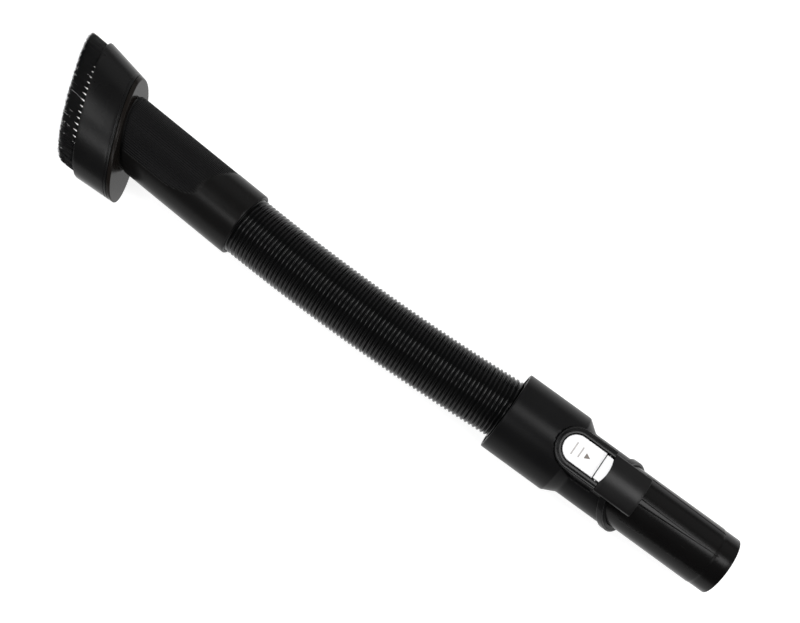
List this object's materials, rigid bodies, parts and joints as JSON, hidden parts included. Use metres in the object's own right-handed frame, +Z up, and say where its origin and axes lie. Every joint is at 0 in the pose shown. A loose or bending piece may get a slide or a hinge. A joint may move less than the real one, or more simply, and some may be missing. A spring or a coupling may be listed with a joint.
{
  "type": "flexible dusting tool",
  "caption": "Flexible dusting tool of a stick vacuum: a spigot with a rocker lock, a swivelling ribbed hose, and an oblique wand with a pull-off oval brush.",
  "frame": {"origin": "under the middle of the bounding box, on the surface that the tool lies on", "axes": "+X along the spigot's axis, out of its open end; +Z up, the way the lock button faces; +Y to the left of someone who looks along +X"},
  "size_m": [0.4838, 0.0766, 0.0512],
  "materials": {
    "shell_black": "satin, finely textured",
    "spigot_black": "polished by use",
    "wand_black": "satin",
    "brush_black": "satin",
    "plate_black": "glossy",
    "hose_black": "satin, flexible",
    "bristle_black": "nylon bristles",
    "pad_white": "smooth white with a small dark mark",
    "washer_rubber": "soft washer",
    "steel": "plain"
  },
  "bodies": {
    "connector": {"connector_shell": "shell_black", "spigot_tube": "spigot_black", "button_frame": "shell_black", "collar_trim": "shell_black", "lever_pin": "steel", "lever_spring": "steel", "retaining_ring": "shell_black", "swivel_washer": "washer_rubber"},
    "lock_lever_body": {"lock_lever": "shell_black", "push_pad": "pad_white"},
    "swivel": {"swivel_collar": "shell_black", "hose_cuff_end": "hose_black", "hose_bend_1": "hose_black"},
    "hose_1": {"hose_section_1": "hose_black", "hose_bend_2": "hose_black"},
    "hose_2": {"hose_section_2": "hose_black", "hose_bend_3": "hose_black"},
    "hose_3": {"hose_section_3": "hose_black", "hose_bend_4": "hose_black"},
    "hose_4": {"hose_section_4": "hose_black", "hose_bend_5": "hose_black"},
    "hose_5": {"hose_section_5": "hose_black", "hose_bend_6": "hose_black"},
    "wand": {"hose_wand_end": "hose_black", "wand_collar": "shell_black", "wand_tube": "wand_black"},
    "brush": {"brush_skirt": "brush_black", "brush_back_plate": "plate_black", "bristle_carrier": "brush_black", "bristles": "bristle_black"}
  },
  "joints": [
    {"name": "lever_rock", "type": "hinge", "parent": "connector", "child": "lock_lever_body", "pos_m": [0.15094, 0.00052, 0.04683], "axis": [0, -1, 0], "range_deg": [0, 5], "stiffness_Nm_per_rad": 0.5, "springref_deg": -5.73, "deforming": ["lever_spring"]},
    {"name": "hose_swivel", "type": "hinge", "parent": "connector", "child": "swivel", "pos_m": [0.08644, 0.00052, 0.02563], "axis": [1, 0, 0], "continuous": true},
    {"name": "hose_side_bend_1", "type": "hinge", "parent": "swivel", "child": "hose_1", "pos_m": [0.08644, 0.00052, 0.02563], "axis": [0, 0, 1], "range_deg": [-25, 25], "stiffness_Nm_per_rad": 0.4, "deforming": ["hose_bend_1"]},
    {"name": "hose_lift_bend_1", "type": "hinge", "parent": "hose_1", "child": "hose_2", "pos_m": [0.05151, -0.00179, 0.02563], "axis": [-0.0536, 0.9986, 0], "range_deg": [-25, 25], "stiffness_Nm_per_rad": 0.4, "deforming": ["hose_bend_2"]},
    {"name": "hose_side_bend_2", "type": "hinge", "parent": "hose_2", "child": "hose_3", "pos_m": [0.01654, -0.00323, 0.02563], "axis": [0, 0, 1], "range_deg": [-25, 25], "stiffness_Nm_per_rad": 0.4, "deforming": ["hose_bend_3"]},
    {"name": "hose_lift_bend_2", "type": "hinge", "parent": "hose_3", "child": "hose_4", "pos_m": [-0.01845, -0.0038, 0.02563], "axis": [-0.0037, 1, 0], "range_deg": [-25, 25], "stiffness_Nm_per_rad": 0.4, "deforming": ["hose_bend_4"]},
    {"name": "hose_side_bend_3", "type": "hinge", "parent": "hose_4", "child": "hose_5", "pos_m": [-0.05345, -0.00349, 0.02563], "axis": [0, 0, 1], "range_deg": [-25, 25], "stiffness_Nm_per_rad": 0.4, "deforming": ["hose_bend_5"]},
    {"name": "hose_lift_bend_3", "type": "hinge", "parent": "hose_5", "child": "wand", "pos_m": [-0.08843, -0.00231, 0.02563], "axis": [0.0462, 0.9989, 0], "range_deg": [-25, 25], "stiffness_Nm_per_rad": 0.4, "deforming": ["hose_bend_6"]},
    {"name": "brush_pull_off", "type": "slide", "parent": "wand", "child": "brush", "axis": [-0.9984, 0.0558, 0], "range_m": [0, 0.035]}
  ],
  "couplings": [
    {"joint": "hose_side_bend_2", "follows": "hose_side_bend_1", "ratio": 1},
    {"joint": "hose_lift_bend_2", "follows": "hose_lift_bend_1", "ratio": 1},
    {"joint": "hose_side_bend_3", "follows": "hose_side_bend_1", "ratio": 1},
    {"joint": "hose_lift_bend_3", "follows": "hose_lift_bend_1", "ratio": 1}
  ]
}
